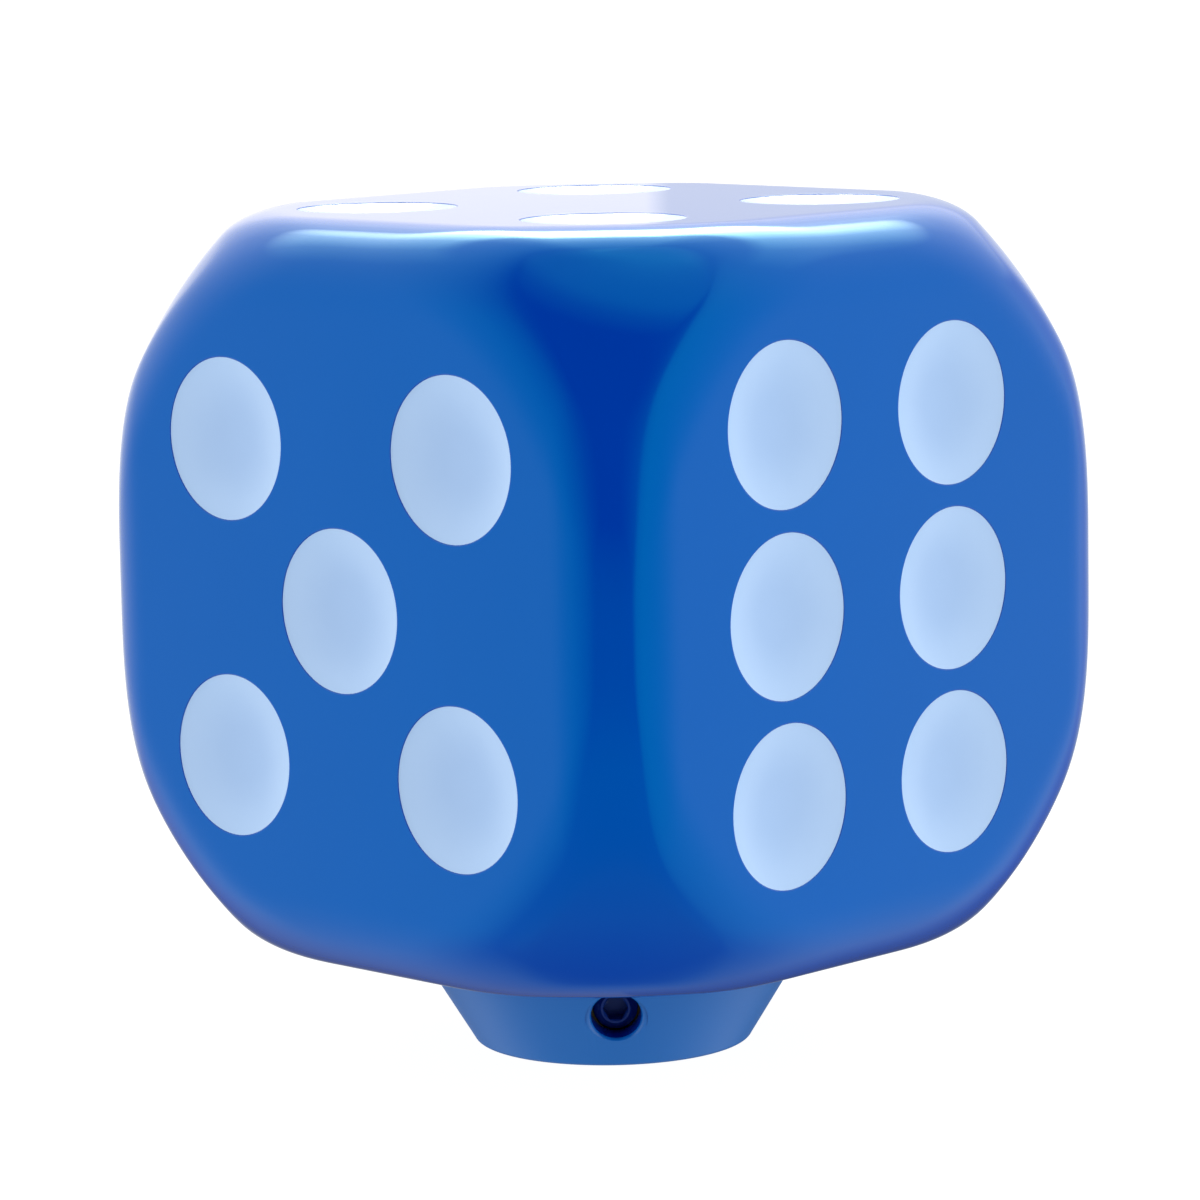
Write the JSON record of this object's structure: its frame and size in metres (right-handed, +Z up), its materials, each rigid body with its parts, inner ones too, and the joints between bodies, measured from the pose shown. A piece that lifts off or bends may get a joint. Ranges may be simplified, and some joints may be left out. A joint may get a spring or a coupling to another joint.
{
  "type": "dice gear-lever knob",
  "caption": "Cube-shaped gear-lever knob with rounded corners, dished pips and a tapered collar that grub screws clamp to the lever.",
  "frame": {"origin": "centre of the collar's foot, where the lever's axis leaves the knob", "axes": "+Z up along the lever's axis through the die, -Y towards the face with five pips, +X towards the face with six"},
  "size_m": [0.05, 0.05, 0.0576],
  "materials": {
    "blue_resin": "polished cast resin, high gloss",
    "pip_enamel": "satin pale enamel",
    "brass": "turned brass",
    "black_nylon": "moulded matt nylon",
    "black_steel": "black oxide"
  },
  "bodies": {
    "adapter": {"lever_adapter": "black_nylon"},
    "knob": {"die_body": "blue_resin", "threaded_socket": "brass", "pip_five_1": "pip_enamel", "pip_five_2": "pip_enamel", "pip_five_3": "pip_enamel", "pip_five_4": "pip_enamel", "pip_five_5": "pip_enamel", "pip_six_1": "pip_enamel", "pip_six_2": "pip_enamel", "pip_six_3": "pip_enamel", "pip_six_4": "pip_enamel", "pip_six_5": "pip_enamel", "pip_six_6": "pip_enamel", "pip_two_1": "pip_enamel", "pip_two_2": "pip_enamel", "pip_one_1": "pip_enamel", "pip_four_1": "pip_enamel", "pip_four_2": "pip_enamel", "pip_four_3": "pip_enamel", "pip_four_4": "pip_enamel"},
    "screw_front": {"grub_screw_front": "black_steel"},
    "screw_left": {"grub_screw_left": "black_steel"},
    "screw_right": {"grub_screw_right": "black_steel"}
  },
  "joints": [
    {"name": "knob_lift_off", "type": "slide", "parent": "adapter", "child": "knob", "axis": [0, 0, 1], "range_m": [0, 0.026]},
    {"name": "screw_front_back_out", "type": "slide", "parent": "knob", "child": "screw_front", "axis": [0.7071, -0.7071, 0], "range_m": [0, 0.004]},
    {"name": "screw_left_back_out", "type": "slide", "parent": "knob", "child": "screw_left", "axis": [-0.9659, -0.2588, 0], "range_m": [0, 0.004]},
    {"name": "screw_right_back_out", "type": "slide", "parent": "knob", "child": "screw_right", "axis": [0.2588, 0.9659, 0], "range_m": [0, 0.004]}
  ]
}
